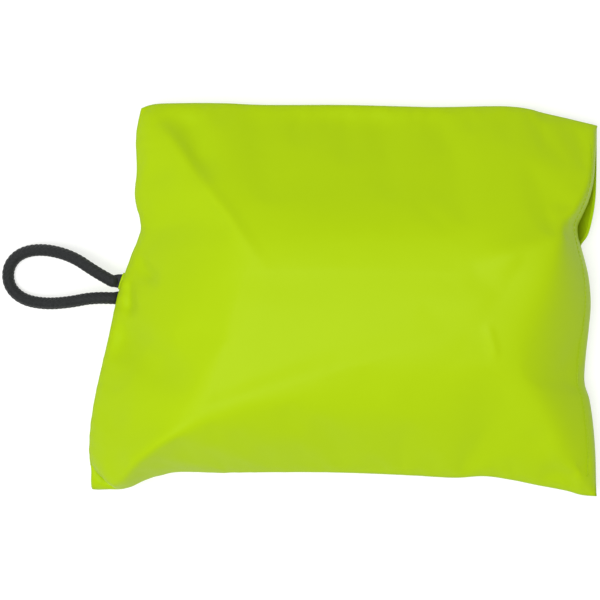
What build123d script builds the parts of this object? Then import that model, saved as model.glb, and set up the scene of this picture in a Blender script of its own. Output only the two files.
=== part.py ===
"""Camp pillow: a sewn case with a hang loop, round a lined foam insert.

The pillow lies on its back panel. X runs along it, from the hang loop's end to
the mouth's end, Y runs across it, and Z is up. The origin is under the middle
of the pillow, on the surface that it rests on. Sizes are in millimetres.
"""

from build123d import *
import os
from math import copysign, pi, radians, tan

os.makedirs("parts", exist_ok=True)

# Heights
PILLOW_HEIGHT = 84.0
SEAM_HEIGHT = 28.0
CORE_BOTTOM = 14.0
CORE_TOP = 66.0
LAYER_GAP = 0.4

# Outlines of the case, clockwise from the far left corner. Each side is a
# corner and two points that pull it into a curve.
SEAM_OUTLINE = [
    (-131, 127), (-40, 130), (90, 128),
    (165, 116), (148, 50), (153, -50),
    (165, -128), (90, -104), (-90, -104),
    (-165, -122), (-163, -40), (-124, 45),
]
CROWN_OUTLINE = [
    (-56, 28), (0, 31), (80, 38),
    (128, 42), (130, 16), (122, -18),
    (106, -46), (50, -54), (-30, -72),
    (-86, -70), (-84, -34), (-74, 0),
]
BASE_OUTLINE = [
    (-104, 90), (-40, 98), (70, 96),
    (130, 84), (134, 30), (134, -40),
    (128, -90), (60, -88), (-70, -88),
    (-130, -88), (-130, -30), (-112, 40),
]

# How a panel goes from the seam to its flat middle: the share of the way in,
# and the share of the rise. The upper one is stretched like a tent, and the
# lower one rounds out where the pillow's weight presses it down.
TENTED = [(0.0, 0.0), (0.07, 0.17), (0.32, 0.47), (0.68, 0.84), (1.0, 1.0)]
ROUNDED = [(0.0, 0.0), (0.10, 0.36), (0.30, 0.68), (0.62, 0.91), (1.0, 1.0)]

# Cloth, and where each layer lies inside the case's outer face
CLOTH = 0.8
FLAP_DEPTH = 1.3
FLAP_HEM_DEPTH = FLAP_DEPTH + CLOTH
LINER_DEPTH = 3.4
FILLING_DEPTH = LINER_DEPTH + CLOTH + LAYER_GAP
INSERT_SEAM_GAP = 9.5

# Trim along the seams: how far each side's trim runs, and its sizes
SEAM_SPANS = {"top": (-118.0, 148.0), "left": (-104.0, 106.0), "bottom": (-148.0, 148.0)}
MOUTH_SPAN = (-112.0, 104.0)
WIDEST_SPAN = 400.0
TAPE_DEPTH = 2.2
TAPE_WIDTH = 6.0
TAPE_THICK = 0.9
THREAD_WIDTH = 0.6
THREAD_THICK = 0.4
HEM_WIDTH = 7.5
HEM_THICK = 0.9
FLAP_REACH = (100.0, 146.0)
FLAP_HALF_WIDTH = 84.0
FLAP_HEM_WIDTH = 6.0
LABEL_SPAN = (62.0, 94.0)
LABEL_DEPTHS = (2.2, 9.4)
LABEL_THICK = 0.3

# Hang loop: its route, from one end through the tip to the other
CORD_DIAMETER = 8.0
LOOP_ROUTE = [
    (-150.5, 12.3, 28.0),
    (-161.0, 18.0, 27.6),
    (-176.5, 28.5, 23.5),
    (-196.0, 33.6, 15.0),
    (-212.5, 31.7, 7.6),
    (-221.8, 22.8, 4.0),
    (-221.8, 9.8, 4.0),
    (-212.5, 0.6, 7.2),
    (-197.0, -2.6, 14.0),
    (-179.5, -1.6, 22.5),
    (-162.0, 1.8, 27.4),
    (-150.5, 1.2, 28.0),
]
ARC_SHARE = 0.45

# Where the loop is sewn in
TAIL_CLEARANCE = 0.3
TAIL_WIDTH = 9.0
TAIL_THICK = 1.6
TAIL_END_X = -135.0
PATCH_SPAN = (-9.0, 22.0)
PATCH_DEPTHS = (1.8, 10.0)
PATCH_THICK = 0.6
TACK_SIZE = (4.4, 6.5, 0.5)
TACK_X = -137.5


def ring(flat_outline, share, depth, seam_gap):
    """An outline between the seam and a flat middle, drawn in by a depth."""
    inset = depth + seam_gap * (1 - share) ** 4
    points = []
    for (seam_x, seam_y), (flat_x, flat_y) in zip(SEAM_OUTLINE, flat_outline):
        x = seam_x + (flat_x - seam_x) * share
        y = seam_y + (flat_y - seam_y) * share
        points.append((x - copysign(inset, x), y - copysign(inset, y)))
    return points


def half_pillow(flat_outline, flat_height, profile, depth, seam_gap, mode):
    """The space on one side of the seam, as far in as a depth."""
    rise = flat_height - SEAM_HEIGHT
    rise -= copysign(depth, rise)
    sections = []
    for share, lift in profile:
        outline = ring(flat_outline, share, depth, seam_gap)
        with BuildSketch(Plane.XY.offset(SEAM_HEIGHT + rise * lift)) as section:
            with BuildLine():
                for corner in range(0, len(outline), 3):
                    Bezier(*[outline[(corner + step) % len(outline)] for step in range(4)])
            make_face()
        sections.append(section.sketch)
    loft(sections, mode=mode)


def upper_half(depth, seam_gap=0.0, mode=Mode.ADD):
    half_pillow(CROWN_OUTLINE, PILLOW_HEIGHT, TENTED, depth, seam_gap, mode)


def lower_half(depth, seam_gap=0.0, mode=Mode.ADD):
    half_pillow(BASE_OUTLINE, 0.0, ROUNDED, depth, seam_gap, mode)


def side_curve(side, depth):
    """The four points of one sewn side, moved straight in by a depth."""
    first, (in_x, in_y) = {
        "top": (0, (0, -1)),
        "right": (3, (-1, 0)),
        "bottom": (6, (0, 1)),
        "left": (9, (1, 0)),
    }[side]
    corners = [SEAM_OUTLINE[(first + step) % len(SEAM_OUTLINE)] for step in range(4)]
    return [(x + in_x * depth, y + in_y * depth) for x, y in corners]


def seam_band(side, near, far, start, end, low, thick):
    """A flat band along one side, between two depths, from start to end."""
    middle = (start + end) / 2
    span = end - start
    with BuildSketch(Plane.XY.offset(low)) as band:
        with BuildLine():
            outer = Bezier(*side_curve(side, near))
            inner = Bezier(*side_curve(side, far))
            Line(outer @ 0, inner @ 0)
            Line(outer @ 1, inner @ 1)
        make_face()
        if side in ("top", "bottom"):
            with Locations((middle, 0)):
                Rectangle(span, WIDEST_SPAN, mode=Mode.INTERSECT)
        else:
            with Locations((0, middle)):
                Rectangle(WIDEST_SPAN, span, mode=Mode.INTERSECT)
    extrude(band.sketch, amount=thick)


def finish(builder, name):
    """Label a finished piece and write it to its own file."""
    builder.part.label = name
    export_step(builder.part, f"parts/{name}.step")


# ---------------------------------------------------------------- outer case

with BuildPart() as front_panel:
    upper_half(0)
    upper_half(CLOTH, mode=Mode.SUBTRACT)
finish(front_panel, "front_panel")

tail_low = SEAM_HEIGHT - TAIL_THICK
tail_start_x = LOOP_ROUTE[0][0] + CORD_DIAMETER / 2 + TAIL_CLEARANCE
tail_length = TAIL_END_X - tail_start_x
tail_spots = [
    (tail_start_x + tail_length / 2, exit_y, tail_low)
    for exit_y in (LOOP_ROUTE[0][1], LOOP_ROUTE[-1][1])
]
on_base = (Align.CENTER, Align.CENTER, Align.MIN)

with BuildPart() as loop_tails:
    with Locations(*tail_spots):
        Box(tail_length, TAIL_WIDTH, TAIL_THICK, align=on_base)
finish(loop_tails, "loop_tails")

with BuildPart() as back_panel:
    lower_half(0)
    lower_half(CLOTH, mode=Mode.SUBTRACT)
    with Locations(*tail_spots):
        Box(tail_length, TAIL_WIDTH, TAIL_THICK, align=on_base, mode=Mode.SUBTRACT)
finish(back_panel, "back_panel")

# Each closed side has its raw edges bound with tape and a row of thread on it.
tape_far = TAPE_DEPTH + TAPE_WIDTH
thread_near = TAPE_DEPTH + TAPE_WIDTH / 2
thread_far = thread_near + THREAD_WIDTH

for side, (start, end) in SEAM_SPANS.items():
    with BuildPart() as seam_tape:
        seam_band(side, TAPE_DEPTH, tape_far, start, end, SEAM_HEIGHT, TAPE_THICK)
    finish(seam_tape, f"seam_tape_{side}")

    with BuildPart() as seam_thread:
        tape_top = SEAM_HEIGHT + TAPE_THICK
        seam_band(side, thread_near, thread_far, start, end, tape_top, THREAD_THICK)
    finish(seam_thread, f"seam_thread_{side}")

# The mouth is the right side: a hem on each lip, and a flap that tucks over
# the insert.
hem_far = TAPE_DEPTH + HEM_WIDTH
hem_top = SEAM_HEIGHT + HEM_THICK

with BuildPart() as mouth_hem_front:
    seam_band("right", TAPE_DEPTH, hem_far, *MOUTH_SPAN, SEAM_HEIGHT, HEM_THICK)
finish(mouth_hem_front, "mouth_hem_front")

with BuildPart() as mouth_hem_back:
    seam_band("right", TAPE_DEPTH, hem_far, *MOUTH_SPAN, SEAM_HEIGHT - HEM_THICK, HEM_THICK)
finish(mouth_hem_back, "mouth_hem_back")

hem_thread_near = hem_far - 2 * THREAD_WIDTH
with BuildPart() as mouth_thread:
    seam_band(
        "right", hem_thread_near, hem_thread_near + THREAD_WIDTH, *MOUTH_SPAN, hem_top, THREAD_THICK
    )
finish(mouth_thread, "mouth_thread")

flap_low = hem_top + THREAD_THICK + LAYER_GAP
flap_size = (FLAP_REACH[1] - FLAP_REACH[0], 2 * FLAP_HALF_WIDTH, PILLOW_HEIGHT)

with BuildPart() as tuck_flap:
    upper_half(FLAP_DEPTH)
    upper_half(FLAP_DEPTH + CLOTH, mode=Mode.SUBTRACT)
    with Locations((FLAP_REACH[0] + flap_size[0] / 2, 0, flap_low)):
        Box(*flap_size, align=on_base, mode=Mode.INTERSECT)
finish(tuck_flap, "tuck_flap")

with BuildPart() as flap_hem:
    upper_half(FLAP_HEM_DEPTH)
    upper_half(FLAP_HEM_DEPTH + CLOTH, mode=Mode.SUBTRACT)
    with Locations((FLAP_REACH[0] + FLAP_HEM_WIDTH / 2, 0, flap_low)):
        Box(FLAP_HEM_WIDTH, *flap_size[1:], align=on_base, mode=Mode.INTERSECT)
finish(flap_hem, "flap_hem")

with BuildPart() as care_label:
    seam_band("bottom", *LABEL_DEPTHS, *LABEL_SPAN, SEAM_HEIGHT - LABEL_THICK, LABEL_THICK)
finish(care_label, "care_label")

# ----------------------------------------------------------------- hang loop

patch_low = tail_low - PATCH_THICK
with BuildPart() as anchor_patch:
    seam_band("left", *PATCH_DEPTHS, *PATCH_SPAN, patch_low, PATCH_THICK)
finish(anchor_patch, "anchor_patch")

with BuildPart() as loop_bar_tacks:
    with Locations(*[(TACK_X, y, patch_low - TACK_SIZE[2]) for _, y, _ in tail_spots]):
        Box(*TACK_SIZE, align=on_base)
finish(loop_bar_tacks, "loop_bar_tacks")

loop_points = [Vector(*point) for point in LOOP_ROUTE]
loop_runs = [after - before for before, after in zip(loop_points, loop_points[1:])]
loop_radii = []
for before, after in zip(loop_runs, loop_runs[1:]):
    half_turn = radians(before.get_angle(after)) / 2
    loop_radii.append(ARC_SHARE * min(before.length, after.length) / tan(half_turn))

with BuildPart() as hang_loop:
    with BuildLine() as loop_line:
        FilletPolyline(*loop_points, radius=loop_radii)
    with BuildSketch(Plane(origin=loop_line.line @ 0, z_dir=loop_line.line % 0)):
        Circle(CORD_DIAMETER / 2)
    sweep()
    with Locations(loop_points[0], loop_points[-1]):
        Sphere(CORD_DIAMETER / 2)
finish(hang_loop, "hang_loop")

# -------------------------------------------------------------------- insert

with BuildPart() as liner_top:
    upper_half(LINER_DEPTH, INSERT_SEAM_GAP)
    upper_half(LINER_DEPTH + CLOTH, INSERT_SEAM_GAP, mode=Mode.SUBTRACT)
finish(liner_top, "liner_top")

with BuildPart() as liner_bottom:
    lower_half(LINER_DEPTH, INSERT_SEAM_GAP)
    lower_half(LINER_DEPTH + CLOTH, INSERT_SEAM_GAP, mode=Mode.SUBTRACT)
finish(liner_bottom, "liner_bottom")

with BuildPart() as batting_top:
    upper_half(FILLING_DEPTH, INSERT_SEAM_GAP)
    split(bisect_by=Plane.XY.offset(CORE_TOP + LAYER_GAP), keep=Keep.TOP)
finish(batting_top, "batting_top")

with BuildPart() as batting_bottom:
    lower_half(FILLING_DEPTH, INSERT_SEAM_GAP)
    split(bisect_by=Plane.XY.offset(CORE_BOTTOM - LAYER_GAP), keep=Keep.BOTTOM)
finish(batting_bottom, "batting_bottom")

with BuildPart() as foam_core:
    upper_half(FILLING_DEPTH, INSERT_SEAM_GAP)
    lower_half(FILLING_DEPTH, INSERT_SEAM_GAP)
    split(bisect_by=Plane.XY.offset(CORE_TOP), keep=Keep.BOTTOM)
    split(bisect_by=Plane.XY.offset(CORE_BOTTOM), keep=Keep.TOP)
finish(foam_core, "foam_core")

loop_length = sum(edge.length for edge in loop_line.edges())
tube_volume = pi * CORD_DIAMETER**2 / 4 * loop_length
end_caps = 4 / 3 * pi * (CORD_DIAMETER / 2) ** 3
print("loop length", round(loop_length, 1))
print("loop radii", [round(radius, 1) for radius in loop_radii])
print("loop volume", round(hang_loop.part.volume), "expected", round(tube_volume + end_caps))
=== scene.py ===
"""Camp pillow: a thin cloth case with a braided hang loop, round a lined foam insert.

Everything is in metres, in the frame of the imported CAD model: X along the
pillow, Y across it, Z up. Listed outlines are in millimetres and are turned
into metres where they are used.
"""

import math

import bmesh
import bpy
import numpy as np
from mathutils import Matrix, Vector


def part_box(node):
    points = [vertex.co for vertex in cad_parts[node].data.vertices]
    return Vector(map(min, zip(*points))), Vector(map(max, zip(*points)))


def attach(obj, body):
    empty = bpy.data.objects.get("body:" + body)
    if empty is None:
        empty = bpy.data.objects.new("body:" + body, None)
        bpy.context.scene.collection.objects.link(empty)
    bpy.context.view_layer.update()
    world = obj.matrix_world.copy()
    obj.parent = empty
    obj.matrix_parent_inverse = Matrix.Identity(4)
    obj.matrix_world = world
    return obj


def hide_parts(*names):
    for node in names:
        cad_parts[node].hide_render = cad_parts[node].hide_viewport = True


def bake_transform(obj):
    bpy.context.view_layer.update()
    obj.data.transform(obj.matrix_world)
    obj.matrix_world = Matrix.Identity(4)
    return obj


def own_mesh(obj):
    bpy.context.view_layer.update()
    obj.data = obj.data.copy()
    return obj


MM = 0.001

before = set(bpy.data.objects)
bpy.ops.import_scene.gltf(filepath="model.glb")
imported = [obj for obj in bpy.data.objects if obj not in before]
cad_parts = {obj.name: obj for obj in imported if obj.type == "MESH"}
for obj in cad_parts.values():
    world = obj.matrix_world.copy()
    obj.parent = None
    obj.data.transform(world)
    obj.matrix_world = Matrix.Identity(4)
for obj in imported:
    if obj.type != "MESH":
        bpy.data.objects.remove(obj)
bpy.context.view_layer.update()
SEAM_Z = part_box("front_panel")[0].z
TOP_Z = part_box("front_panel")[1].z
CORE_BOTTOM, CORE_TOP = (corner.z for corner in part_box("foam_core"))
BATTING_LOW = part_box("batting_top")[0].z
BATTING_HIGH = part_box("batting_bottom")[1].z

# -------------------- camera

VIEW_CENTRE = (-28.3 * MM, 0.0)
VIEW_WIDTH = 390 * MM
LENS = 110.0


def make_camera():
    """A camera straight above, whose view is VIEW_WIDTH wide at the seam's height."""
    data = bpy.data.cameras.new("camera")
    data.lens = LENS
    camera = bpy.data.objects.new("camera", data)
    distance = VIEW_WIDTH * LENS / data.sensor_width
    camera.location = (*VIEW_CENTRE, SEAM_Z + distance)
    bpy.context.scene.collection.objects.link(camera)
    bpy.context.scene.camera = camera


make_camera()

# -------------------- lines, rings


def unit(vectors):
    """Vectors made one long."""
    return vectors / np.linalg.norm(vectors, axis=-1, keepdims=True)


def ease(t):
    """0 below 0, 1 above 1, and a smooth step between."""
    t = np.clip(t, 0, 1)
    return t * t * (3 - 2 * t)


def runs_of(line):
    """How far along a line each of its points is."""
    return np.concatenate([[0], np.cumsum(np.linalg.norm(np.diff(line, axis=0), axis=1))])


def points_at(line, run, places):
    """The points of a line at given places along its run."""
    return np.stack([np.interp(places, run, line[:, k]) for k in range(line.shape[1])], axis=1)


def evenly(line, count):
    """A line's own course, as count + 1 evenly spaced points."""
    line = np.asarray(line, float)
    run = runs_of(line)
    return points_at(line, run, np.linspace(0, run[-1], count + 1))


POINTS_PER_RUN = 40


def smooth_line(points, count):
    """A curve through given points in millimetres, evenly spaced, in metres."""
    p = np.array(points, float) * MM
    p = np.vstack([2 * p[0] - p[1], p, 2 * p[-1] - p[-2]])
    fine = []
    for a, b, c, d in zip(p, p[1:], p[2:], p[3:]):
        ab, bc, cd = (math.sqrt(np.linalg.norm(q)) for q in (b - a, c - b, d - c))
        start = bc * ((b - a) / ab - (c - a) / (ab + bc) + (c - b) / bc)
        end = bc * ((c - b) / bc - (d - b) / (bc + cd) + (d - c) / cd)
        for t in np.linspace(0, 1, POINTS_PER_RUN, endpoint=False):
            fine.append(
                (2 * t**3 - 3 * t**2 + 1) * b
                + (t**3 - 2 * t**2 + t) * start
                + (3 * t**2 - 2 * t**3) * c
                + (t**3 - t**2) * end
            )
    return evenly(fine + [p[-2]], count)


def directions(line, side):
    """Unit vectors along a line, to its side and above it, at each of its points."""
    along = unit(np.gradient(line, axis=0))
    side = np.asarray(side, float) + np.zeros_like(line)
    side = unit(side - (side * along).sum(axis=1, keepdims=True) * along)
    return along, side, np.cross(along, side)


# -------------------- mesh making

# A part of a mesh is its points, its faces, and the place in the cloth, in
# metres, of each corner of each face.


def tube(rings, around):
    """A closed tube through a stack of rings of points, as far around as it says."""
    count, sides, _ = rings.shape
    run = runs_of(rings.mean(axis=1))
    turn = np.arange(sides + 1) * around / sides
    faces, places = [], []
    for i in range(count - 1):
        for j in range(sides):
            k = (j + 1) % sides
            faces.append((i * sides + j, i * sides + k, (i + 1) * sides + k, (i + 1) * sides + j))
            places += [(run[i], turn[j]), (run[i], turn[j + 1])]
            places += [(run[i + 1], turn[j + 1]), (run[i + 1], turn[j])]
    ends = range(sides)
    faces += [tuple(ends)[::-1], tuple((count - 1) * sides + j for j in ends)]
    places += [(run[0], turn[j]) for j in ends][::-1] + [(run[-1], turn[j]) for j in ends]
    return rings.reshape(-1, 3), faces, places


FLATNESS, ROUNDNESS = 0.4, 0.7  # powers that square a band's section and round its edges
BLUNT_END = ((0.4, 0.75), (0.75, 0.7), (0.93, 0.4))  # share of the section, half thicknesses out


def strap(line, side, half_width, half_thick, sides=20):
    """A flat band with rounded edges along a line, drawn in to a blunt end at both ends."""
    along, side, above = directions(line, side)
    turn = np.arange(sides) * 2 * math.pi / sides
    flat = np.sign(np.cos(turn)) * np.abs(np.cos(turn)) ** FLATNESS
    thick = np.sign(np.sin(turn)) * np.abs(np.sin(turn)) ** ROUNDNESS
    half_width = half_width + np.zeros(len(line))
    half_thick = half_thick + np.zeros(len(line))
    rings = (
        line[:, None]
        + side[:, None] * (half_width[:, None] * flat)[..., None]
        + above[:, None] * (half_thick[:, None] * thick)[..., None]
    )
    blunt = []
    for ring, centre, outward, size in (
        (rings[0], line[0], -along[0], half_thick[0]),
        (rings[-1], line[-1], along[-1], half_thick[-1]),
    ):
        blunt.append([centre + (ring - centre) * share + outward * size * reach
                      for share, reach in BLUNT_END])
    rings = np.concatenate([blunt[0], rings, blunt[1][::-1]])
    return tube(rings, 4 * float(half_width.mean()))


THREAD_SIDES = 8
STITCH_POINTS = 7
STITCH_START, STITCH_LENGTH = 0.3, 0.82  # in stitch pitches
STITCH_RISE, STITCH_SINK = 1.6, 0.6  # in thread radii
STITCH_SWELL = 0.25


def stitch_row(line, above, pitch, radius):
    """A row of thread stitches on a line, each one rising out of the cloth and back in."""
    run = runs_of(line)
    above = above + np.zeros_like(line)
    parts = []
    share = np.linspace(0, 1, STITCH_POINTS)
    arch = np.sin(math.pi * share) * STITCH_RISE - STITCH_SINK
    swell = 1 - STITCH_SWELL + STITCH_SWELL * np.sin(math.pi * share)
    for start in np.arange(pitch * STITCH_START, run[-1] - pitch, pitch):
        at = start + share * pitch * STITCH_LENGTH
        up = unit(points_at(above, run, at))
        middle = points_at(line, run, at) + up * (arch * radius)[:, None]
        parts.append(thread(middle, up, radius * swell))
    return parts


def thread(line, above, radius):
    """A round thread along a line."""
    _, first, second = directions(line, above)
    turn = np.arange(THREAD_SIDES) * 2 * math.pi / THREAD_SIDES
    radius = radius + np.zeros(len(line))
    rings = line[:, None] + radius[:, None, None] * (
        first[:, None] * np.cos(turn)[None, :, None] + second[:, None] * np.sin(turn)[None, :, None]
    )
    return tube(rings, 2 * math.pi * float(radius.mean()))


def cloth_part(grid, u, v, flip=False):
    """A grid of points as one layer of cloth, with its threads along u and v in metres."""
    rows, columns = grid.shape[:2]
    faces, places = [], []
    for r in range(rows - 1):
        for c in range(columns - 1):
            corners = [(r, c), (r, c + 1), (r + 1, c + 1), (r + 1, c)]
            corners = corners[::-1] if flip else corners
            faces.append(tuple(i * columns + j for i, j in corners))
            places += [(u[i, j], v[i, j]) for i, j in corners]
    return grid.reshape(-1, 3), faces, places


def add_mesh(name, points, faces):
    """A new smooth-shaded mesh object in the scene."""
    mesh = bpy.data.meshes.new(name)
    mesh.from_pydata([tuple(p) for p in points], [], [tuple(f) for f in faces])
    mesh.update()
    mesh.shade_smooth()
    piece = bpy.data.objects.new(name, mesh)
    bpy.context.scene.collection.objects.link(piece)
    return piece


def build(name, parts, material):
    """One piece made of one or more parts, with its material and its cloth places as UVs."""
    points, faces, places = [], [], []
    for part_points, part_faces, part_places in parts:
        start = sum(len(p) for p in points)
        points.append(part_points)
        faces += [tuple(start + corner for corner in face) for face in part_faces]
        places += part_places
    piece = add_mesh(name, np.concatenate(points), faces)
    layer = piece.data.uv_layers.new(name="UVMap")
    layer.data.foreach_set("uv", np.array(places, np.float32).ravel())
    piece.data.materials.append(material)
    return piece


def add_modifier(piece, kind, **settings):
    """Give a piece a modifier with these settings."""
    modifier = piece.modifiers.new(kind.lower(), kind)
    for key, value in settings.items():
        setattr(modifier, key, value)
    return modifier


def apply_modifiers(piece):
    """Replace a piece's mesh with what its modifiers make of it."""
    graph = bpy.context.evaluated_depsgraph_get()
    made = bpy.data.meshes.new_from_object(piece.evaluated_get(graph), depsgraph=graph)
    piece.modifiers.clear()
    piece.data = made


def thicken(piece, thickness):
    """Give a layer of cloth its thickness, inwards."""
    add_modifier(piece, "SOLIDIFY", thickness=thickness, offset=-1)
    apply_modifiers(piece)


# -------------------- materials


def new_material(name, colour, roughness, **sockets):
    """A material, and a function that adds a node to it."""
    material = bpy.data.materials.new(name)
    material.use_nodes = True
    tree = material.node_tree
    shader = tree.nodes["Principled BSDF"]
    shader.inputs["Base Color"].default_value = (*colour, 1)
    shader.inputs["Roughness"].default_value = roughness
    for key, value in sockets.items():
        shader.inputs[key.replace("_", " ")].default_value = value

    def node(kind, inputs=None, **settings):
        made = tree.nodes.new(kind)
        for key, value in settings.items():
            setattr(made, key, value)
        for key, value in (inputs or {}).items():
            if isinstance(value, bpy.types.NodeSocket):
                tree.links.new(value, made.inputs[key])
            else:
                made.inputs[key].default_value = value
        return made

    return material, shader, node


def tint(material, shader, node, share, colour, other):
    """Drift the shader's colour between two, by a share from 0 to 1."""
    mix = node("ShaderNodeMix", {"Factor": share}, data_type="RGBA")
    mix.inputs["A"].default_value = (*colour, 1)
    mix.inputs["B"].default_value = (*other, 1)
    material.node_tree.links.new(mix.outputs["Result"], shader.inputs["Base Color"])


def raise_bumps(material, shader, node, layers):
    """Put layers of relief on the surface: each a height, a depth in metres and a strength."""
    normal = None
    for height, depth, strength in layers:
        inputs = {"Height": height, "Distance": depth, "Strength": strength}
        if normal is not None:
            inputs["Normal"] = normal
        normal = node("ShaderNodeBump", inputs).outputs["Normal"]
    material.node_tree.links.new(normal, shader.inputs["Normal"])


WAVES_PER_UNIT = 0.314  # the wave texture has scale / 0.314 waves in a unit
CREASE_SCALE = 48.0
DRIFT_SCALE = 26.0
THREAD_ROUGHNESS = 0.75


def stripes(node, place, pitch, direction, distortion=0.4):
    """Evenly spaced ridges, as in threads that lie side by side."""
    wave = node(
        "ShaderNodeTexWave",
        {"Vector": place, "Scale": WAVES_PER_UNIT / pitch, "Distortion": distortion, "Detail": 1.0},
        bands_direction=direction,
    )
    return wave.outputs["Fac"]


def woven_cloth(name, colour, other, roughness, pitch, depth, crumple=0.0, **sockets):
    """Plain-woven cloth: crossing threads, a slow drift in its colour, and fine creases."""
    material, shader, node = new_material(name, colour, roughness, **sockets)
    place = node("ShaderNodeTexCoord").outputs["UV"]
    threads = [stripes(node, place, pitch, way) for way in ("X", "Y")]
    weave = node("ShaderNodeMath", dict(enumerate(threads)), operation="MULTIPLY").outputs[0]
    slow = node(
        "ShaderNodeTexNoise",
        {"Vector": place, "Scale": DRIFT_SCALE, "Detail": 4.0, "Roughness": 0.55},
    )
    tint(material, shader, node, slow.outputs["Fac"], colour, other)
    layers = [(weave, depth, 0.6)]
    if crumple:
        creases = node(
            "ShaderNodeTexNoise",
            {"Vector": place, "Scale": CREASE_SCALE, "Detail": 3.0, "Distortion": 0.6},
        )
        layers.insert(0, (creases.outputs["Fac"], crumple, 1.0))
    raise_bumps(material, shader, node, layers)
    return material


def spun_thread(name, colour, other):
    """Thread with its twist as slanted ridges."""
    material, shader, node = new_material(name, colour, THREAD_ROUGHNESS, Specular_IOR_Level=0.2)
    place = node("ShaderNodeTexCoord").outputs["UV"]
    twist = stripes(node, place, 0.45 * MM, "DIAGONAL", 0.2)
    tint(material, shader, node, twist, colour, other)
    raise_bumps(material, shader, node, [(twist, 0.05 * MM, 0.8)])
    return material


def braided_cord(name, colour, other):
    """Polyester braid: fine filaments over its strands, paler where they are worn."""
    material, shader, node = new_material(
        name, colour, 0.62, Specular_IOR_Level=0.25, Sheen_Weight=0.05, Sheen_Roughness=0.6
    )
    place = node("ShaderNodeTexCoord").outputs["UV"]
    filaments = stripes(node, place, 0.28 * MM, "DIAGONAL", 1.2)
    worn = node("ShaderNodeTexNoise", {"Vector": place, "Scale": 420.0, "Detail": 3.0})
    tint(material, shader, node, worn.outputs["Fac"], colour, other)
    raise_bumps(material, shader, node, [(filaments, 0.06 * MM, 0.7)])
    return material


def open_foam(name, colour, other):
    """Cut foam: open cells of two sizes, the larger ones painted darker in their hollows as shade."""
    material, shader, node = new_material(name, colour, 0.95, Specular_IOR_Level=0.1)
    place = node("ShaderNodeTexCoord").outputs["Object"]
    cells = node("ShaderNodeTexVoronoi", {"Vector": place, "Scale": 900.0}).outputs["Distance"]
    pores = node("ShaderNodeTexVoronoi", {"Vector": place, "Scale": 260.0}).outputs["Distance"]
    # Painted shade: each larger cell's colour darkens towards its middle, where the bump sinks it.
    tint(material, shader, node, pores, other, colour)
    raise_bumps(material, shader, node, [(pores, 0.35 * MM, 0.6), (cells, 0.2 * MM, 0.8)])
    return material


def loose_fibre(name, colour, other):
    """Polyester batting: tangled fibres, a little shaded in its hollows."""
    material, shader, node = new_material(name, colour, 0.9, Sheen_Weight=0.3, Sheen_Roughness=0.4)
    place = node("ShaderNodeTexCoord").outputs["Object"]
    tangle = node(
        "ShaderNodeTexNoise",
        {"Vector": place, "Scale": 240.0, "Detail": 8.0, "Roughness": 0.7, "Distortion": 2.5},
    ).outputs["Fac"]
    tint(material, shader, node, tangle, other, colour)
    raise_bumps(material, shader, node, [(tangle, 0.8 * MM, 0.8)])
    return material


LIME = (0.412, 0.606, 0.002)
LIME_DEEP = (0.398, 0.587, 0.0018)
case_cloth = woven_cloth(
    "case_cloth", LIME, LIME_DEEP, 0.5, 0.35 * MM, 0.05 * MM, crumple=0.12 * MM,
    Specular_IOR_Level=0.09, Sheen_Weight=0.01, Sheen_Roughness=0.5,
)
lime_thread = spun_thread("lime_thread", (0.44, 0.62, 0.01), (0.30, 0.45, 0.005))
binding = woven_cloth(
    "seam_binding", (0.38, 0.55, 0.01), (0.33, 0.49, 0.008), 0.7, 0.6 * MM, 0.12 * MM,
    Specular_IOR_Level=0.2,
)
satin = woven_cloth(
    "label_satin", (0.80, 0.80, 0.77), (0.74, 0.74, 0.71), 0.35, 0.25 * MM, 0.03 * MM,
    Sheen_Weight=0.2, Sheen_Roughness=0.3,
)
black_braid = braided_cord("black_braid", (0.007, 0.008, 0.0085), (0.024, 0.027, 0.028))
black_thread = spun_thread("black_thread", (0.016, 0.017, 0.018), (0.007, 0.007, 0.008))
ticking = woven_cloth(
    "ticking", (0.80, 0.80, 0.77), (0.74, 0.74, 0.71), 0.8, 0.5 * MM, 0.08 * MM, crumple=0.3 * MM,
    Specular_IOR_Level=0.15,
)
batting = loose_fibre("batting_fibre", (0.90, 0.90, 0.88), (0.70, 0.70, 0.68))
foam = open_foam("foam_cells", (0.86, 0.80, 0.60), (0.62, 0.55, 0.36))

# -------------------- hang loop

CORD_DIAMETER = 0.008
LOOP_ROUTE = [
    (-0.1505, 0.0123, 0.0280),
    (-0.1610, 0.0180, 0.0276),
    (-0.1765, 0.0285, 0.0235),
    (-0.1960, 0.0336, 0.0150),
    (-0.2125, 0.0317, 0.0076),
    (-0.2218, 0.0228, 0.0040),
    (-0.2218, 0.0098, 0.0040),
    (-0.2125, 0.0006, 0.0072),
    (-0.1970, -0.0026, 0.0140),
    (-0.1795, -0.0016, 0.0225),
    (-0.1620, 0.0018, 0.0274),
    (-0.1505, 0.0012, 0.0280),
]
STRANDS = 8
STRAND_STEP = 3.2 * MM
BRAID_RELIEF = 0.42 * MM
BRAID_LIFT = 0.55
STRAND_ROUNDNESS = 0.9
LOOP_RINGS, LOOP_SIDES = ((760, 96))
TIP_RINGS = 12


def cord_line(route):
    """The smooth line of a cord: a NURBS spline with the route as its control points."""
    curve = bpy.data.curves.new("cord_line", "CURVE")
    curve.dimensions = "3D"
    curve.resolution_u = 30
    spline = curve.splines.new("NURBS")
    spline.points.add(len(route) - 1)
    for point, place in zip(spline.points, route):
        point.co = (*place, 1)
    spline.order_u = 3
    spline.use_endpoint_u = True
    holder = bpy.data.objects.new("cord_line", curve)
    line = np.array([v.co for v in bpy.data.meshes.new_from_object(holder).vertices], float)
    bpy.data.objects.remove(holder)
    return line


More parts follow.
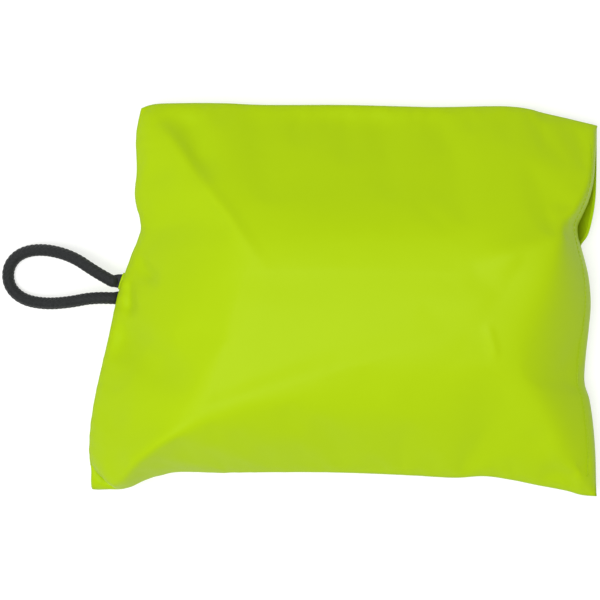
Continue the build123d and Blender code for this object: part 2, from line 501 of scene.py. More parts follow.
def braid_height(turn, run):
    """The height of two sets of strands that cross over two and under two, from 0 to 1."""
    one = STRANDS * turn + run / STRAND_STEP
    other = STRANDS * turn - run / STRAND_STEP
    heights = []
    for strand, crossed, way in ((one, other, 1), (other, one, -1)):
        across = 2 * (strand - np.floor(strand)) - 1
        over = way * np.sin(math.pi / 2 * (crossed + np.floor(strand)))
        heights.append(np.sqrt(1 - STRAND_ROUNDNESS * across**2) + BRAID_LIFT * over)
    return np.maximum(*heights) / (1 + BRAID_LIFT)


def make_hang_cord():
    """The braided loop, rounded off at both ends, where it goes into the seam."""
    line = evenly(cord_line(LOOP_ROUTE), LOOP_RINGS)
    along, side, above = directions(line, (0, 0, 1))
    tip = np.linspace(math.pi / 2, 0, TIP_RINGS, endpoint=False)
    run = runs_of(line)
    radius = CORD_DIAMETER / 2
    centres = np.concatenate([
        line[0] - along[0] * (radius * np.sin(tip))[:, None],
        line,
        (line[-1] + along[-1] * (radius * np.sin(tip))[:, None])[::-1],
    ])
    size = np.concatenate([np.cos(tip), np.ones(len(line)), np.cos(tip)[::-1]])
    run = np.concatenate([-radius * np.sin(tip), run, run[-1] + radius * np.sin(tip)[::-1]])
    pad = ((TIP_RINGS, TIP_RINGS), (0, 0))
    side, above = np.pad(side, pad, "edge"), np.pad(above, pad, "edge")
    turn = np.arange(LOOP_SIDES) / LOOP_SIDES
    relief = BRAID_RELIEF * (1 + BRAID_LIFT) * (1 - braid_height(turn[None], run[:, None]))
    reach = ((radius - relief) * size[:, None])[..., None]
    angle = 2 * math.pi * turn[None, :, None]
    rings = centres[:, None] + reach * (side[:, None] * np.cos(angle) + above[:, None] * np.sin(angle))
    piece = build("hang_cord", [tube(rings, math.pi * CORD_DIAMETER)], black_braid)
    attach(piece, "loop")
    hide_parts("hang_loop")


make_hang_cord()

# -------------------- shape of the case

# The sides of the case as it lies, each clockwise, in millimetres
TOP_SIDE = [
    (-132, 125.2), (-124, 127.8), (-104, 128.6), (-77, 128.4), (-55, 127.4), (0, 127.3),
    (30, 126.6), (60, 125.9), (105, 126.4), (118, 125.2), (131, 122), (147, 118.4), (165, 114),
]
BACK_LIP = [
    (165, 114), (164.7, 85), (164, 67), (162.4, 55), (159, 42), (154.2, 34), (159.2, 16),
    (160.8, -2), (159.6, -18), (157.6, -36), (156.8, -54), (160, -65), (164, -98), (165, -128.5),
]
FRONT_LIP = [
    (165, 114), (162.7, 78), (159.6, 65), (155, 54.5), (152, 48), (152.2, 41), (154.2, 34), (159, 16),
    (160.6, -2), (159.4, -18), (157.4, -36), (156.4, -54), (159.6, -65), (163.6, -98), (165, -128.5),
]
BOTTOM_SIDE = [
    (165, -128.5), (155, -127.6), (146, -125), (127, -121.2), (109, -117.4), (92, -115),
    (73, -116), (46, -114.6), (9, -113), (-20, -112.4), (-80, -112.6), (-109, -112.4),
    (-127, -117), (-138, -122), (-145, -123.4), (-150, -121), (-157, -115.5),
]
LEFT_SIDE = [
    (-157, -115.5), (-162, -110.5), (-165.3, -103), (-166, -94), (-163, -68), (-153.5, -25),
    (-146.5, 6), (-138.8, 28), (-132.2, 47), (-136, 66), (-135, 84), (-135.3, 108), (-132, 125.2),
]
COLUMNS, ROWS = ((132, 102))
PANEL_WIDTH, PANEL_HEIGHT = 330 * MM, 250 * MM  # what a whole share is along and across
CLOTH = 0.5 * MM

# How a panel leaves each side of the seam, in shares of its width and height:
# how long its slope is, beside which share of the side, how that changes along
# the side, and how much the slope rounds over, where 1 is flat
CROWN = {
    "left": (0.246, 0.172, 0.085, 1.25),
    "right": (0.245, 0.380, -0.420, 2.1),
    "top": (0.455, 0.277, 0.0, 1.25),
    "bottom": (0.190, 0.242, 0.420, 1.5),
}
BASE = {
    "left": (0.130, 0.5, 0.0, 2.8),
    "right": (0.110, 0.5, 0.0, 2.8),
    "top": (0.150, 0.5, 0.0, 2.8),
    "bottom": (0.110, 0.5, 0.0, 2.8),
}
RIDGE_SOFTNESS = 0.06
SHORTEST_SLOPE = 0.09
CREST_PULL = 3  # how soon a side lets go of the crown, past the end of its slope
ROLL, ROLL_REACH = 3.0 * MM, 2.2 * MM
CORNER_HANG, UPPER_CORNER_SHARE = 5 * MM, 0.4
CORNER_FROM, CORNER_STEEPNESS = 1.2, 2.2
GAPE_MIDDLE, GAPE_REACH = 0.70, 0.12  # shares of the right side, from the bottom up
LIP_WIDTH = 0.05  # share of the panel's width
LIP_LIFT = 0.7 * MM
FRONT_GAPE, BACK_GAPE = 2.2 * MM, 0.8 * MM


def coons(lip):
    """The case's outline filled with a grid of rows and columns, flat."""
    top = smooth_line(TOP_SIDE, COLUMNS)
    right = smooth_line(lip, ROWS)[::-1]
    bottom = smooth_line(BOTTOM_SIDE, COLUMNS)[::-1]
    left = smooth_line(LEFT_SIDE, ROWS)
    u = np.linspace(0, 1, COLUMNS + 1)[None, :, None]
    v = np.linspace(0, 1, ROWS + 1)[:, None, None]
    across = (1 - u) * left[:, None] + u * right[:, None]
    along = (1 - v) * bottom[None] + v * top[None]
    corners = (1 - v) * ((1 - u) * bottom[0] + u * bottom[-1]) + v * ((1 - u) * top[0] + u * top[-1])
    return across + along - corners


def shares(columns, rows):
    """Each grid point's share of the way along and across."""
    u, v = np.meshgrid(np.linspace(0, 1, columns + 1), np.linspace(0, 1, rows + 1))
    return u, v


def soft_least(values, softness):
    """The least of several values, with the corners between them rounded."""
    stack = np.stack([np.asarray(value) + np.zeros_like(values[0]) for value in values])
    return -softness * np.log(np.exp(-stack / softness).sum(axis=0))


def slope_share(slopes, u, v):
    """How far a point has come from the seam to the flat middle, from 0 to 1."""
    least = [np.ones_like(u)]
    sides = (("left", u, v), ("right", 1 - u, v), ("top", 1 - v, u), ("bottom", v, u))
    for side, away, beside in sides:
        length, where, change, rounding = slopes[side]
        way = away / np.maximum(length + change * (beside - where), SHORTEST_SLOPE)
        past = CREST_PULL * np.maximum(way - 1, 0) ** 2
        least.append(1 - np.maximum(1 - way, 0) ** rounding + past)
    return np.clip(soft_least(least, RIDGE_SOFTNESS), 0, 1)


def seam_distance(u, v):
    """How far a point is from the nearest sewn side, in metres."""
    return np.minimum.reduce([u * PANEL_WIDTH, v * PANEL_HEIGHT, (1 - v) * PANEL_HEIGHT])


def rim_distance(u, v):
    """How far a point is from the nearest side, the mouth's among them, in metres."""
    return np.minimum(seam_distance(u, v), (1 - u) * PANEL_WIDTH)


FOLD_OVERRUN, FOLD_RAMP = 0.15, 0.45  # shares of a fold's length


def fold(x, y, start, end, half_width, depth):
    """A soft fold along a line, deepest in its middle: how far it sinks each point."""
    a, b = np.array(start) * MM, np.array(end) * MM
    along = b - a
    t = ((x - a[0]) * along[0] + (y - a[1]) * along[1]) / (along @ along)
    off = ((x - a[0]) * along[1] - (y - a[1]) * along[0]) / math.hypot(*along)
    ends = ease((t + FOLD_OVERRUN) / FOLD_RAMP) * ease((1 + FOLD_OVERRUN - t) / FOLD_RAMP)
    return -depth * MM * np.exp(-((off / (half_width * MM)) ** 2)) * ends


# Folds in the front, from one point to another, with half width and depth;
# a depth below 0 stands up as a ridge
FRONT_FOLDS = [
    ((-124, 122), (-53, 24), 5, -1.8),
    ((-105, 124), (-86, 78), 10, 4.5),
    ((10, 150), (10, 50), 62, 4.0),
    ((-160, -18), (-100, -50), 14, 6.5),
    ((-140, 14), (-137, -10), 4, 4.0),
    ((-134, 28), (-120, 10), 4, 2.6),
    ((-50, 24), (-95, -70), 14, -1.5),
    ((85, 24), (146, 42), 9, -2.6),
    ((88, -16), (94, -36), 3, -1.0),
    ((-152, -112), (-100, -80), 9, -3.0),
    ((160, -124), (126, -88), 6, -2.2),
    ((150, -112), (118, -84), 7, 1.6),
]
FOLD_FADE = 9 * MM


def fold_front(front, u, v):
    """Press the folds into the front, less and less towards its sewn rim."""
    fade = 1 - np.exp(-((seam_distance(u, v) / FOLD_FADE) ** 2))
    sunk = np.zeros_like(u)
    for start, end, half_width, depth in FRONT_FOLDS:
        sunk += fold(front[..., 0], front[..., 1], start, end, half_width, depth)
    front[..., 2] += sunk * fade


def rim_height(u, v):
    """The seam's height: its corners hang a little, and the lower two more than the upper two."""
    near_end, near_side = (
        ease(abs(2 * share - 1) * CORNER_STEEPNESS - CORNER_FROM) for share in (u, v)
    )
    return SEAM_Z - CORNER_HANG * (near_end * near_side) * np.where(v < 0.5, 1.0, UPPER_CORNER_SHARE)


def gape(v):
    """How wide the two lips of the mouth stand apart, along the right side."""
    return ease(1 - abs(v - GAPE_MIDDLE) / GAPE_REACH)


def roll(distance):
    """How steeply a panel leaves its rim, as a height that is soon reached."""
    return ROLL * (1 - np.exp(-distance / ROLL_REACH))


def lips(u):
    """How near a point is to the mouth's edge, from 0 behind the lip to 1 at the edge."""
    return ease(1 - (1 - u) / LIP_WIDTH)


def front_points(u, v):
    """The front panel before it settles: up from the rim, over the crown and down again."""
    lift = slope_share(CROWN, u, v)
    rim = rim_height(u, v) + roll(rim_distance(u, v))
    z = rim * (1 - lift) + TOP_Z * lift
    z = z + lips(u) * (LIP_LIFT + FRONT_GAPE * gape(v))
    return np.dstack([coons(FRONT_LIP), z])


def back_points(u, v):
    """The back panel before it settles: down from the rim to the surface it lies on."""
    lift = slope_share(BASE, u, v)
    rim = rim_height(u, v) - roll(rim_distance(u, v))
    z = (rim - lips(u) * (LIP_LIFT + BACK_GAPE * gape(v))) * (1 - lift)
    return np.dstack([coons(BACK_LIP), z])


def sewn_rim():
    """Grid indices of the three sewn sides, and of all four."""
    index = np.arange((COLUMNS + 1) * (ROWS + 1)).reshape(ROWS + 1, COLUMNS + 1)
    sewn = np.unique(np.concatenate([index[-1], index[0], index[:, 0]]))
    return sewn, np.unique(np.concatenate([sewn, index[:, -1]]))


EASE_KEEP, EASE_PASSES = 0.35, 6


def eased(settled, before):
    """Settled points with the sharpest creases of their settling smoothed out."""
    step = (settled - before).reshape(ROWS + 1, COLUMNS + 1, 3)
    smooth = step
    for _ in range(EASE_PASSES):
        wide = np.pad(smooth, ((1, 1), (1, 1), (0, 0)), mode="edge")
        beside = wide[:-2, 1:-1] + wide[2:, 1:-1] + wide[1:-1, :-2] + wide[1:-1, 2:]
        smooth = (beside + 2 * smooth) / 6
        for side in (np.s_[0], np.s_[-1], np.s_[:, 0], np.s_[:, -1]):
            smooth[side] = step[side]
    return before + (smooth * (1 - EASE_KEEP) + step * EASE_KEEP).reshape(-1, 3)


SETTLE_FRAMES = 26
SETTLE_REACH = 7 * MM
SETTLING = {
    "quality": 6, "mass": 0.2, "air_damping": 4, "tension_stiffness": 30,
    "compression_stiffness": 30, "shear_stiffness": 12, "bending_stiffness": 4.0,
    "vertex_group_mass": "held", "shrink_min": -0.004, "shrink_max": -0.004,
    "use_pressure": True, "uniform_pressure_force": 0.5,
}


def simulate_case(front, back, u, v):
    """Let the sewn case settle as cloth under a little pressure, held at its rim."""
    # Both panels are one mesh: "own" says where in it each of the back's points is,
    # and the sewn ones are the front's
    sewn, rim = sewn_rim()
    count = len(front)
    own = np.full(count, -1)
    own[sewn] = sewn
    free = np.where(own < 0)[0]
    own[free] = count + np.arange(len(free))
    points = np.vstack([front, back[free]])
    grid = points[:count].reshape(ROWS + 1, COLUMNS + 1, 3)
    faces = cloth_part(grid, u, v)[1]
    faces += [tuple(int(own[k]) for k in face) for face in cloth_part(grid, u, v, flip=True)[1]]
    bag = add_mesh("case_bag", points, faces)
    held = bag.vertex_groups.new(name="held")
    held.add([int(k) for k in rim] + [int(own[k]) for k in rim], 1.0, "REPLACE")
    modifier = add_modifier(bag, "CLOTH")
    for key, value in SETTLING.items():
        setattr(modifier.settings, key, value)
    modifier.settings.effector_weights.gravity = 0
    modifier.collision_settings.use_collision = False
    modifier.point_cache.frame_end = SETTLE_FRAMES
    for frame_number in range(1, SETTLE_FRAMES + 1):
        bpy.context.scene.frame_set(frame_number)
    graph = bpy.context.evaluated_depsgraph_get()
    settled = bag.evaluated_get(graph).to_mesh()
    moved = np.array([vertex.co for vertex in settled.vertices])
    bpy.context.scene.frame_set(1)
    bpy.data.objects.remove(bag)
    step = moved - points
    size = np.linalg.norm(step, axis=1, keepdims=True)
    step *= np.minimum(1, SETTLE_REACH / np.maximum(size, 1e-9))
    return [eased(points[kept] + step[kept], points[kept]) for kept in (np.arange(count), own)]


def doubled(grid, axis):
    """A grid with a smooth new row between every two, along one axis."""
    rows = np.moveaxis(grid, axis, 0)
    rows = np.concatenate([[2 * rows[0] - rows[1]], rows, [2 * rows[-1] - rows[-2]]])
    between = (9 * (rows[1:-2] + rows[2:-1]) - rows[:-3] - rows[3:]) / 16
    made = np.empty((2 * len(between) + 1, *rows.shape[1:]))
    made[::2], made[1::2] = rows[1:-1], between
    return np.moveaxis(made, 0, axis)


def normals(grid):
    """The upward normal at each point of a grid."""
    return unit(np.cross(np.gradient(grid, axis=1), np.gradient(grid, axis=0)))


SEAM_ROLL_OUT, SEAM_DRAW_IN = 0.45 * MM, 0.5 * MM


def groove_seam(front, back):
    """Draw the sewn rim in, and let the cloth beside it roll out over it."""
    rows, columns = front.shape[:2]
    r, c = np.meshgrid(np.arange(rows), np.arange(columns), indexing="ij")
    sewn = (r == 0) | (r == rows - 1) | (c == 0)
    inner_r, inner_c = np.clip(r, 1, rows - 2), np.maximum(c, 1)
    inward = unit((front[inner_r, inner_c] + back[inner_r, inner_c]) / 2 - front + 1e-9)
    beside = np.zeros_like(sewn)
    beside[1, 1:], beside[-2, 1:], beside[1:-1, 1] = True, True, True
    front[beside] += normals(front)[beside] * SEAM_ROLL_OUT
    back[beside] -= normals(back)[beside] * SEAM_ROLL_OUT
    front[sewn] += inward[sewn] * SEAM_DRAW_IN
    back[sewn] = front[sewn]


PUCKER_WAVES = 6
PUCKER_LENGTHS = (8, 24)  # millimetres
PUCKER_REACH, PUCKER_START = 10 * MM, 1.5 * MM


def pucker(panel, u, v, outward, seed, height):
    """Small gathers that run in from the seam and fade out."""
    random = np.random.default_rng(seed)
    gathers = np.zeros_like(u)
    for away, beside in (
        (u * PANEL_WIDTH, v * PANEL_HEIGHT),
        (v * PANEL_HEIGHT, u * PANEL_WIDTH),
        ((1 - v) * PANEL_HEIGHT, u * PANEL_WIDTH),
    ):
        wave = np.zeros_like(u)
        lengths = random.uniform(*PUCKER_LENGTHS, PUCKER_WAVES) * MM
        for wavelength, phase in zip(lengths, random.uniform(0, 6.28, PUCKER_WAVES)):
            wave += np.sin(2 * math.pi * beside / wavelength + phase) / PUCKER_WAVES
        gathers += wave * np.exp(-away / PUCKER_REACH) * (1 - np.exp(-away / PUCKER_START))
    panel += outward * normals(panel) * (gathers * height)[..., None]


EXITS = [LOOP_ROUTE[0][1], LOOP_ROUTE[-1][1]]
EXIT_HALF_WIDTH, EXIT_REACH = 4.6 * MM, 9 * MM
FRONT_EXIT_RISE, BACK_EXIT_RISE = 1.1 * MM, -2.2 * MM


def part_seam_at_cords(front, back, u):
    """Open the left seam a little where the two ends of the cord go in."""
    for panel, rise in ((front, FRONT_EXIT_RISE), (back, BACK_EXIT_RISE)):
        for exit_y in EXITS:
            beside = np.exp(-(((panel[..., 1] - exit_y) / EXIT_HALF_WIDTH) ** 4))
            panel[..., 2] += rise * beside * np.exp(-u * PANEL_WIDTH / EXIT_REACH)


EAR_SHIFT = (-9.2, -10.4, 0.5)  # millimetres
EAR_REACH, EAR_ROLL = 13 * MM, 9 * MM


def turn_ear(back, u, v):
    """Roll the back panel's lower left corner out past the seam."""
    rim = np.minimum(u * PANEL_WIDTH, v * PANEL_HEIGHT)
    corner = np.exp(-((u * PANEL_WIDTH) ** 2 + (v * PANEL_HEIGHT) ** 2) / EAR_REACH**2)
    bulge = np.sin(math.pi * np.clip(rim / EAR_ROLL, 0, 1))
    back += np.array(EAR_SHIFT) * MM * (corner * bulge)[..., None]


FRONT_PUCKERS = {"outward": 1, "seed": 11, "height": 0.6 * MM}
BACK_PUCKERS = {"outward": -1, "seed": 12, "height": 1.0 * MM}
LOWEST_BACK = 0.2 * MM


def shape_case():
    """Both panels of the case as fine grids of points, and each point's shares."""
    u, v = shares(COLUMNS, ROWS)
    front, back = front_points(u, v).reshape(-1, 3), back_points(u, v).reshape(-1, 3)
    sewn, _ = sewn_rim()
    back[sewn] = front[sewn]
    front, back = simulate_case(front, back, u, v)
    front = front.reshape(ROWS + 1, COLUMNS + 1, 3)
    back = back.reshape(ROWS + 1, COLUMNS + 1, 3)
    front, back = (doubled(doubled(panel, 0), 1) for panel in (front, back))
    u, v = shares(2 * COLUMNS, 2 * ROWS)
    turn_ear(back, u, v)
    fold_front(front, u, v)
    pucker(front, u, v, **FRONT_PUCKERS)
    pucker(back, u, v, **BACK_PUCKERS)
    groove_seam(front, back)
    part_seam_at_cords(front, back, u)
    back[..., 2] = np.maximum(back[..., 2], LOWEST_BACK)
    return front, back, u, v


front, back, grid_u, grid_v = shape_case()
front_out, back_out = normals(front), -normals(back)


def press(piece):
    """Bake a piece's placement into its own mesh."""
    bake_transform(piece)


def make_covers():
    """The two panels of the case, as cloth with a thickness."""
    width, height = grid_u * PANEL_WIDTH, grid_v * PANEL_HEIGHT
    upper = cloth_part(front, width, height)
    front_cover = build("front_cover", [upper], case_cloth)
    thicken(front_cover, CLOTH)
    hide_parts("front_panel")
    press(front_cover)
    lower = cloth_part(back, width, height, flip=True)
    back_cover = build("back_cover", [lower], case_cloth)
    thicken(back_cover, CLOTH)
    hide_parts("back_panel")
    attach(back_cover, "case")


make_covers()

# -------------------- places in the case


def on_grid(grid, u, v):
    """The point of a grid at given shares along and across, between its own points."""
    rows, columns = grid.shape[0] - 1, grid.shape[1] - 1
    x, y = np.clip(u, 0, 1) * columns, np.clip(v, 0, 1) * rows
    c, r = np.minimum(x.astype(int), columns - 1), np.minimum(y.astype(int), rows - 1)
    s, t = (x - c)[..., None], (y - r)[..., None]
    low = grid[r, c] * (1 - s) + grid[r, c + 1] * s
    high = grid[r + 1, c] * (1 - s) + grid[r + 1, c + 1] * s
    return low * (1 - t) + high * t


def under(panel, outward, u, v, depth):
    """A place inside a panel, straight in from its outer face by a depth."""
    return on_grid(panel, u, v) - on_grid(outward, u, v) * depth


def seam_line(side, depth, start, end, count=160):
    """A line midway between the panels, along one sewn side, at a depth from its rim."""
    along = np.linspace(start, end, count)
    if side == "left":
        u, v = np.full(count, depth / PANEL_WIDTH), along
    else:
        across = depth / PANEL_HEIGHT
        u, v = along, np.full(count, 1 - across if side == "top" else across)
    return (on_grid(front, u, v) + on_grid(back, u, v)) / 2


UP = np.array([0.0, 0.0, 1.0])
ACROSS = {"top": (0, 1, 0), "bottom": (0, 1, 0), "left": (1, 0, 0)}

# -------------------- seams of the case

SEAM_SPANS = {"top": (0.05, 0.94), "left": (0.06, 0.93), "bottom": (0.05, 0.95)}
TAPE_MIDDLE = 5.2 * MM
TAPE_HALF_WIDTH = 3.0 * MM
TAPE_HALF_THICK = 0.45 * MM
STITCH_PITCH = 3.0 * MM
STITCH_RADIUS = 0.28 * MM


def make_seam(side, span):
    """The tape that binds one side's raw edges, and the stitches through it."""
    line = seam_line(side, TAPE_MIDDLE, *span)
    tape = strap(line, ACROSS[side], TAPE_HALF_WIDTH, TAPE_HALF_THICK)
    piece = build(f"{side}_binding", [tape], binding)
    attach(piece, "case")
    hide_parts(f"seam_tape_{side}")
    rows = []
    for way in (1, -1):
        rows += stitch_row(line + way * UP * TAPE_HALF_THICK, way * UP, STITCH_PITCH, STITCH_RADIUS)
    piece = build(f"{side}_stitches", rows, lime_thread)
    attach(piece, "case")
    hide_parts(f"seam_thread_{side}")


for side, span in SEAM_SPANS.items():
    make_seam(side, span)

LABEL_SPAN = (0.68, 0.78)
LABEL_MIDDLE = 5.8 * MM
LABEL_HALF_WIDTH = 3.6 * MM
LABEL_HALF_THICK = 0.15 * MM
LABEL_DROP = 0.85 * MM


def make_label():
    """A blank ribbon label, sewn in under the bottom seam's tape."""
    line = seam_line("bottom", LABEL_MIDDLE, *LABEL_SPAN, count=40) - UP * LABEL_DROP
    ribbon = strap(line, ACROSS["bottom"], LABEL_HALF_WIDTH, LABEL_HALF_THICK)
    piece = build("blank_label", [ribbon], satin)
    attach(piece, "case")
    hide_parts("care_label")


make_label()

# -------------------- mouth

HEM_EDGES = (8.3 * MM, 0.3 * MM)
HEM_HALF_THICK = 0.45 * MM
HEM_SPAN = (0.05, 0.95)
HEM_POINTS = 200
HEM_STITCHES = 6.4 * MM
STITCH_LIFT = 0.05 * MM


def lip_line(panel, outward, away, depth):
    """A line along a lip of the mouth, away from its edge and at a depth inside the panel."""
    u = np.full(HEM_POINTS, 1 - away / PANEL_WIDTH)
    return under(panel, outward, u, np.linspace(*HEM_SPAN, HEM_POINTS), depth)


def make_mouth():
    """A turned hem inside each lip of the mouth, and the stitches that hold them."""
    stitches = []
    for name, node, panel, outward, way in (
        ("front_lip_hem", "mouth_hem_front", front, front_out, 1),
        ("back_lip_hem", "mouth_hem_back", back, back_out, -1),
    ):
        depth = CLOTH + HEM_HALF_THICK
        inner, outer = (lip_line(panel, outward, away, depth) for away in HEM_EDGES)
        across = outer - inner
        half_width = np.linalg.norm(across, axis=1) / 2
        band = strap((inner + outer) / 2, across, half_width, HEM_HALF_THICK)
        piece = build(name, [band], case_cloth)
        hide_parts(node)
        press(piece)
        line = lip_line(panel, outward, HEM_STITCHES, -STITCH_LIFT)
        out = unit(np.cross(across, np.gradient(line, axis=0)))
        out *= np.sign((out * UP).sum(axis=1, keepdims=True)) * way
        stitches += stitch_row(line, out, STITCH_PITCH, STITCH_RADIUS)
    piece = build("mouth_stitches", stitches, lime_thread)
    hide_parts("mouth_thread")
    press(piece)


make_mouth()

FLAP_SPAN = (0.80, 0.968)
FLAP_SIDES = (0.16, 0.84)
FLAP_DEPTH = CLOTH + 0.6 * MM
FLAP_WAVE = 0.25 * MM
RIPPLES, RIPPLE_SWAY, SWAYS = 41, 2, 30
FLAP_COLUMNS, FLAP_ROWS = 44, 140
FLAP_HEM_HALF_WIDTH = 3.0 * MM
FLAP_HEM_HALF_THICK = 0.4 * MM
FLAP_HEM_GAP = 0.2 * MM
SLOPE_STEP = 0.008  # share of a panel's width over which its slope is taken


def make_flap():
    """The flap that tucks in over the insert, behind the mouth, and its hem."""
    u, v = np.meshgrid(
        np.linspace(*FLAP_SPAN, FLAP_COLUMNS), np.linspace(*FLAP_SIDES, FLAP_ROWS)
    )
    loose = (FLAP_SPAN[1] - u) / (FLAP_SPAN[1] - FLAP_SPAN[0])
    waves = FLAP_WAVE * np.sin(v * RIPPLES + RIPPLE_SWAY * np.sin(u * SWAYS)) * loose
    grid = on_grid(front, u, v) - on_grid(front_out, u, v) * (FLAP_DEPTH + waves)[..., None]
    cloth = cloth_part(grid, u * PANEL_WIDTH, v * PANEL_HEIGHT)
    flap = build("tuck_flap_cloth", [cloth], case_cloth)
    thicken(flap, CLOTH)
    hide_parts("tuck_flap")
    press(flap)
    v = np.linspace(*FLAP_SIDES, FLAP_ROWS)
    u = np.full_like(v, FLAP_SPAN[0] + FLAP_HEM_HALF_WIDTH / PANEL_WIDTH)
    depth = FLAP_DEPTH + CLOTH + FLAP_HEM_HALF_THICK + FLAP_HEM_GAP
    line = under(front, front_out, u, v, depth)
    across = on_grid(front, u, v) - on_grid(front, u - SLOPE_STEP, v)
    band = strap(line, across, FLAP_HEM_HALF_WIDTH, FLAP_HEM_HALF_THICK)
    hem = build("flap_hem_fold", [band], case_cloth)
    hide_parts("flap_hem")
    press(hem)


make_flap()

# -------------------- ends of the hang loop

TAIL_PLACE = 27.2 * MM
TAIL_SPAN = (-150.3 * MM, -135 * MM)
TAIL_FLATTENED_IN = 4.5 * MM
# Half of a tail's width and thickness in millimetres, and what flattening changes
TAIL_HALF_WIDTH, TAIL_SPREAD = 3.85, 0.65
TAIL_HALF_THICK, TAIL_THINNING = 1.1, 0.3
PATCH_SPAN = (0.44, 0.57)
PATCH_MIDDLE = 5.9 * MM
PATCH_PLACE = 26.05 * MM
PATCH_HALF_WIDTH, PATCH_HALF_THICK = 4.1 * MM, 0.3 * MM
TACK_X = -137.5 * MM
TACK_HALF_SIZE = (2.2 * MM, 3.25 * MM)
TACK_STROKES = 26
TACK_THREAD = 0.2 * MM
TACK_HEIGHTS = (TAIL_PLACE + 1.0 * MM, PATCH_PLACE - 0.5 * MM)


def make_cord_ends():
    """The flattened ends of the cord, from where the loop swings into the seam."""
    x = np.linspace(*TAIL_SPAN, 40)
    flattened = ease((x - TAIL_SPAN[0]) / TAIL_FLATTENED_IN)
    half_width = (TAIL_HALF_WIDTH + TAIL_SPREAD * flattened) * MM
    half_thick = (TAIL_HALF_THICK - TAIL_THINNING * flattened) * MM
    parts = []
    for exit_y in EXITS:
        line = np.stack([x, np.full_like(x, exit_y), np.full_like(x, TAIL_PLACE)], axis=1)
        parts.append(strap(line, (0, 1, 0), half_width, half_thick, sides=40))
    piece = build("cord_ends", parts, black_braid)
    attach(piece, "case")
    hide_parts("loop_tails")


def make_patch():
    """A strip of binding under the cord's ends, which takes the pull of the loop."""
    line = seam_line("left", PATCH_MIDDLE, *PATCH_SPAN, count=40)
    line[:, 2] = PATCH_PLACE
    strip = strap(line, ACROSS["left"], PATCH_HALF_WIDTH, PATCH_HALF_THICK)
    piece = build("cord_patch", [strip], binding)
    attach(piece, "case")
    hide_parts("anchor_patch")


def make_bar_tacks():
    """A dense zigzag of black thread over and under each end of the cord."""
    step = np.arange(TACK_STROKES + 1)
    x = TACK_X + TACK_HALF_SIZE[0] * np.where(step % 2, 1, -1)
    y = TACK_HALF_SIZE[1] * (2 * step / TACK_STROKES - 1)
    parts = []
    for exit_y in EXITS:
        for height in TACK_HEIGHTS:
            line = np.stack([x, exit_y + y, np.full(len(step), height)], axis=1)
            parts.append(thread(evenly(line, 12 * TACK_STROKES), UP, TACK_THREAD))
    piece = build("bar_tacks", parts, black_thread)
    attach(piece, "case")
    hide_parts("loop_bar_tacks")


# Where the fold starts, how far it runs and how high it arches, in millimetres
SEAM_FOLD_START = (-142.2, 17.2, 27.6)
SEAM_FOLD_RUN = (-3.4, -10.2)
SEAM_FOLD_ARCH, SEAM_FOLD_ROUNDNESS = 2.6, 0.6
SEAM_FOLD_SIDE = (1, -0.4, 0)
SEAM_FOLD_HALF_WIDTH, SEAM_FOLD_HALF_THICK = 1.1 * MM, 0.3 * MM


def make_seam_fold():
    """A small fold of the case's cloth that has slipped out over the upper end of the cord."""
    turn = np.linspace(0, 1, 30)
    x, y = (SEAM_FOLD_START[k] + SEAM_FOLD_RUN[k] * turn for k in range(2))
    arch = SEAM_FOLD_ARCH * np.sin(math.pi * turn) ** SEAM_FOLD_ROUNDNESS
    line = np.stack([x, y, SEAM_FOLD_START[2] + arch], axis=1) * MM
    band = strap(line, SEAM_FOLD_SIDE, SEAM_FOLD_HALF_WIDTH, SEAM_FOLD_HALF_THICK)
    piece = build("seam_fold", [band], case_cloth)
    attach(piece, "case")


make_cord_ends()
make_patch()
make_bar_tacks()
make_seam_fold()

# -------------------- insert

INSERT_GAP = 9.5 * MM
INSERT_EDGE, INSERT_ROUNDING = 14 * MM, 2.5
INSERT_SIZE = (PANEL_WIDTH - 2 * INSERT_GAP, PANEL_HEIGHT - 2 * INSERT_GAP)
LINER_DEPTH = 3.4 * MM
FILLING_DEPTH = 4.7 * MM
INSERT_COLUMNS, INSERT_ROWS = 120, 90
VOXEL = 2.2 * MM
WELD = 0.01 * MM


def insert_half(panel, outward, other, depth):
    """One half of the insert: under a panel by a depth, and closed in to its own seam."""
    s, t = shares(INSERT_COLUMNS, INSERT_ROWS)
    gap_u, gap_v = INSERT_GAP / PANEL_WIDTH, INSERT_GAP / PANEL_HEIGHT
    u, v = gap_u + (1 - 2 * gap_u) * s, gap_v + (1 - 2 * gap_v) * t
    middle = (on_grid(panel, u, v) + on_grid(other, u, v)) / 2
    along, across = s * INSERT_SIZE[0], t * INSERT_SIZE[1]
    rim = np.minimum.reduce([along, INSERT_SIZE[0] - along, across, INSERT_SIZE[1] - across])
    rise = (1 - (1 - np.clip(rim / INSERT_EDGE, 0, 1)) ** INSERT_ROUNDING)[..., None]
    return middle * (1 - rise) + under(panel, outward, u, v, depth) * rise, along, across


def make_liners():
    """The two halves of the insert's liner."""
    half = insert_half(front, front_out, back, LINER_DEPTH)
    upper = build("liner_upper", [cloth_part(*half)], ticking)
    thicken(upper, CLOTH)
    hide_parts("liner_top")
    press(upper)
    half = insert_half(back, back_out, front, LINER_DEPTH)
    lower = build("liner_lower", [cloth_part(*half, flip=True)], ticking)
    thicken(lower, CLOTH)
    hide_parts("liner_bottom")
    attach(lower, "case")


make_liners()
filling = [
    cloth_part(*insert_half(front, front_out, back, FILLING_DEPTH)),
    cloth_part(*insert_half(back, back_out, front, FILLING_DEPTH), flip=True),
]


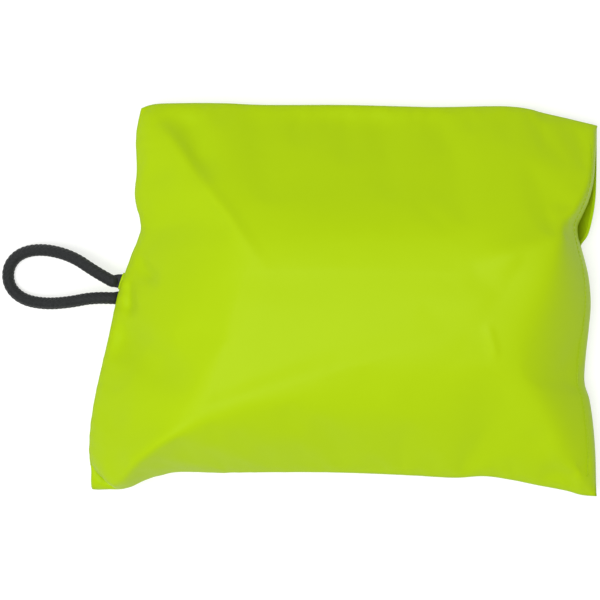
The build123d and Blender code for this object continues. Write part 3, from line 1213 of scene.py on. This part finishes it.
def slab(name, material, low=None, high=None):
    """The filling between two heights, as one closed piece."""
    piece = build(name, filling, material)
    shape = bmesh.new()
    shape.from_mesh(piece.data)
    bmesh.ops.remove_doubles(shape, verts=shape.verts, dist=WELD)
    for height, way in ((low, -1), (high, 1)):
        if height is not None:
            everything = shape.verts[:] + shape.edges[:] + shape.faces[:]
            cut = bmesh.ops.bisect_plane(
                shape, geom=everything, plane_co=(0, 0, height), plane_no=(0, 0, way),
                clear_outer=True,
            )
            rim = [edge for edge in cut["geom_cut"] if isinstance(edge, bmesh.types.BMEdge)]
            bmesh.ops.holes_fill(shape, edges=rim)
    shape.to_mesh(piece.data)
    shape.free()
    add_modifier(piece, "REMESH", mode="VOXEL", voxel_size=VOXEL, use_smooth_shade=True)
    return piece


TUFT_SIZE, TUFT_HEIGHT = 9 * MM, 0.9 * MM


def make_filling():
    """Two layers of tufted batting, and the foam core between them."""
    tufts = bpy.data.textures.new("tufts", "CLOUDS")
    tufts.noise_scale = TUFT_SIZE
    for name, node, low, high in (
        ("batting_upper", "batting_top", BATTING_LOW, None),
        ("batting_lower", "batting_bottom", None, BATTING_HIGH),
    ):
        pad = slab(name, batting, low, high)
        add_modifier(pad, "DISPLACE", texture=tufts, strength=TUFT_HEIGHT, mid_level=0.6)
        apply_modifiers(pad)
        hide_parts(node)
        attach(pad, "crown" if low else "case")
    core = slab("foam_pad", foam, CORE_BOTTOM, CORE_TOP)
    apply_modifiers(core)
    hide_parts("foam_core")
    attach(core, "case")
    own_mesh(core)


make_filling()

# -------------------- studio

STUDIO_LIGHT = 0.40
KEY_PLACE = (-0.34, -0.17, 1.87)
KEY_SIZE = 0.8
KEY_POWER = 28.6
KEY_AIM = (0, 0, 0.04)
FLOOR_SIZE = 8
FLOOR_DROP = 0.0002
FLOOR_GREY = 0.45
FLOOR_GLOW = 0.62


def make_studio():
    """A pale floor that glows a little, one soft key light and an even sky."""
    corners = [(x * FLOOR_SIZE, y * FLOOR_SIZE, 0) for x, y in ((-1, -1), (1, -1), (1, 1), (-1, 1))]
    floor = add_mesh("floor", corners, [(0, 1, 2, 3)])
    floor.location.z = -FLOOR_DROP
    pale, shader, _ = new_material("pale_floor", [FLOOR_GREY] * 3, 0.9, Specular_IOR_Level=0.0)
    shader.inputs["Emission Color"].default_value = (1, 1, 1, 1)
    shader.inputs["Emission Strength"].default_value = FLOOR_GLOW
    floor.data.materials.append(pale)
    data = bpy.data.lights.new("key", "AREA")
    data.size = KEY_SIZE
    data.energy = KEY_POWER
    key = bpy.data.objects.new("key", data)
    key.location = KEY_PLACE
    aim = Vector(KEY_AIM) - Vector(KEY_PLACE)
    key.rotation_euler = aim.to_track_quat("-Z", "Y").to_euler()
    bpy.context.scene.collection.objects.link(key)
    world = bpy.data.worlds.new("studio")
    world.use_nodes = True
    world.node_tree.nodes["Background"].inputs["Color"].default_value = (1, 1, 1, 1)
    world.node_tree.nodes["Background"].inputs["Strength"].default_value = STUDIO_LIGHT
    bpy.context.scene.world = world
    bpy.context.scene.view_settings.view_transform = "Standard"


make_studio()
